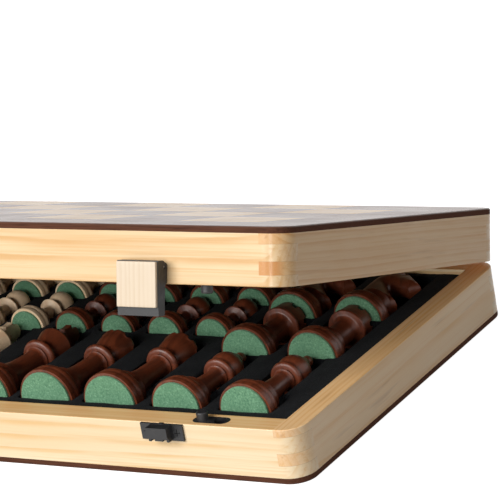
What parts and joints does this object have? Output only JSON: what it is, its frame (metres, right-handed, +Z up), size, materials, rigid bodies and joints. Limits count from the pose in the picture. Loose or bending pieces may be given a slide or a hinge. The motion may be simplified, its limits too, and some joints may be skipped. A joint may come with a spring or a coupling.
{
  "type": "folding chess board",
  "caption": "Folding wooden chess board that closes into a latched case, with finger-jointed rails, a hinged lid and a foam tray that stores turned chess pieces.",
  "frame": {"origin": "centre of the underside of the base half, on the surface it rests on", "axes": "+X along the hinge to the right seen from the latches, +Y from the latches to the hinge, +Z up"},
  "size_m": [0.381, 0.2032, 0.1056],
  "materials": {
    "pine": "clear satin lacquer, long grain with amber streaks",
    "walnut_veneer": "gloss lacquer",
    "walnut_square": "gloss lacquer",
    "maple_square": "gloss lacquer",
    "dark_wood": "polished lacquer",
    "light_wood": "polished lacquer",
    "green_felt": "short-pile felt",
    "black_foam": "flocked foam",
    "grey_card": "plain board",
    "brass": "satin",
    "steel": "bright zinc",
    "black_fitting": "satin black",
    "plate_wood": "satin lacquer"
  },
  "bodies": {
    "base": {"base_front_rail": "pine", "base_back_rail": "pine", "base_left_rail": "pine", "base_right_rail": "pine", "base_board_panel": "walnut_veneer", "base_maple_squares": "maple_square", "base_walnut_squares": "walnut_square", "storage_foam": "black_foam", "foam_floor_sheet": "grey_card", "hinge_base_leaves": "brass", "hinge_pins": "steel", "hinge_base_screws": "steel", "latch_keepers": "black_fitting", "keeper_screws": "black_fitting", "base_locators": "black_fitting", "dark_king": "dark_wood", "dark_queens": "dark_wood", "dark_bishops": "dark_wood", "dark_rooks": "dark_wood", "dark_knights": "dark_wood", "dark_pawns": "dark_wood", "dark_felts": "green_felt", "light_king": "light_wood", "light_queens": "light_wood", "light_bishops": "light_wood", "light_rooks": "light_wood", "light_knights": "light_wood", "light_pawns": "light_wood", "light_felts": "green_felt"},
    "lid": {"lid_front_rail": "pine", "lid_back_rail": "pine", "lid_left_rail": "pine", "lid_right_rail": "pine", "lid_board_panel": "walnut_veneer", "lid_maple_squares": "maple_square", "lid_walnut_squares": "walnut_square", "lid_liner_pad": "black_foam", "hinge_lid_leaves": "brass", "hinge_lid_screws": "steel", "latch_brackets": "black_fitting", "bracket_screws": "black_fitting", "latch_pins": "steel", "lid_locators": "black_fitting"},
    "right_latch": {"right_latch_lever": "black_fitting", "right_latch_face_plate": "plate_wood"},
    "left_latch": {"left_latch_lever": "black_fitting", "left_latch_face_plate": "plate_wood"}
  },
  "joints": [
    {"name": "lid_hinge", "type": "hinge", "parent": "base", "child": "lid", "pos_m": [0, 0.0955, 0.0245], "axis": [-1, 0, 0], "range_deg": [-17.7, 162.3]},
    {"name": "right_latch_pivot", "type": "hinge", "parent": "lid", "child": "right_latch", "pos_m": [0.1254, -0.08607, 0.09021], "axis": [-1, 0, 0], "range_deg": [-4, 50]},
    {"name": "left_latch_pivot", "type": "hinge", "parent": "lid", "child": "left_latch", "pos_m": [-0.1254, -0.08607, 0.09021], "axis": [-1, 0, 0], "range_deg": [-4, 50]}
  ]
}
